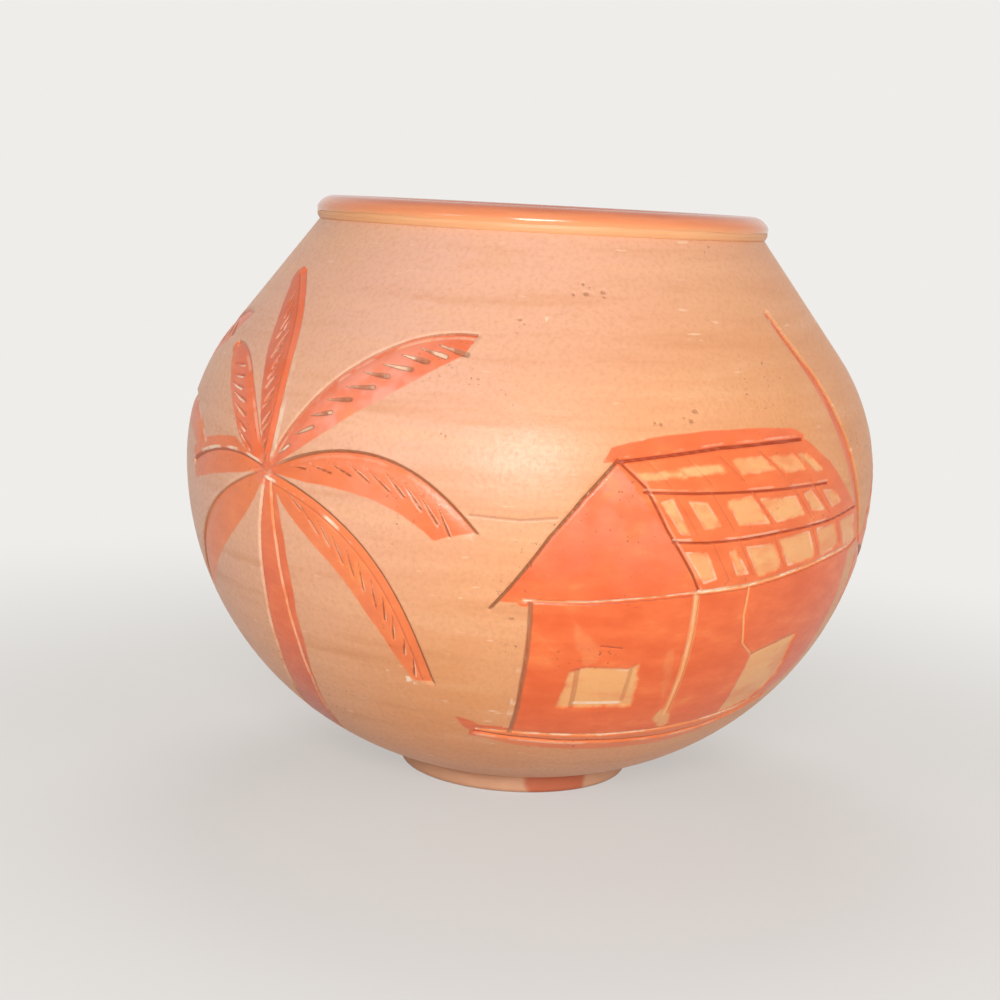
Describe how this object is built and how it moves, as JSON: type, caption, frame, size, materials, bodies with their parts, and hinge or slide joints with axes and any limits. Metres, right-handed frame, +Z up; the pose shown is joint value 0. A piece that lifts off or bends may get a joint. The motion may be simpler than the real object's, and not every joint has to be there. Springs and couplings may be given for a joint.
{
  "type": "vase",
  "caption": "Wide-mouthed globular terracotta bud vase with a rolled glazed rim, a foot ring and a red slip palm and hut scene round its body.",
  "frame": {"origin": "middle of the foot ring's resting face, on the table", "axes": "+Z up along the pot's axis of turning; -Y faces the viewer of the picture; +X to the right"},
  "size_m": [0.1212, 0.1209, 0.1004],
  "materials": {
    "clay_body": "burnished buff terracotta",
    "foot_clay": "bare turned terracotta",
    "rim_clay": "burnished terracotta",
    "rim_glaze": "gloss",
    "red_slip": "satin brushed slip"
  },
  "bodies": {
    "root": {"body": "clay_body", "foot_ring": "foot_clay", "rim_roll": "rim_clay", "rim_glaze": "rim_glaze", "palm_1_trunk": "red_slip", "palm_1_frond_1": "red_slip", "palm_1_frond_2": "red_slip", "palm_1_frond_3": "red_slip", "palm_1_frond_4": "red_slip", "palm_1_frond_5": "red_slip", "palm_1_frond_6": "red_slip", "palm_1_frond_7": "red_slip", "palm_2_trunk": "red_slip", "palm_2_frond_1": "red_slip", "palm_2_frond_2": "red_slip", "palm_2_frond_3": "red_slip", "palm_2_frond_4": "red_slip", "palm_2_frond_5": "red_slip", "palm_2_frond_6": "red_slip", "palm_2_frond_7": "red_slip", "palm_3_trunk": "red_slip", "palm_3_frond_1": "red_slip", "palm_3_frond_2": "red_slip", "palm_3_frond_3": "red_slip", "palm_3_frond_4": "red_slip", "hut_gable": "red_slip", "hut_front_wall": "red_slip", "hut_side_wall": "red_slip", "hut_ridge": "red_slip", "hut_course_1": "red_slip", "hut_course_2": "red_slip", "hut_course_3": "red_slip", "hut_ground": "red_slip"}
  },
  "joints": []
}
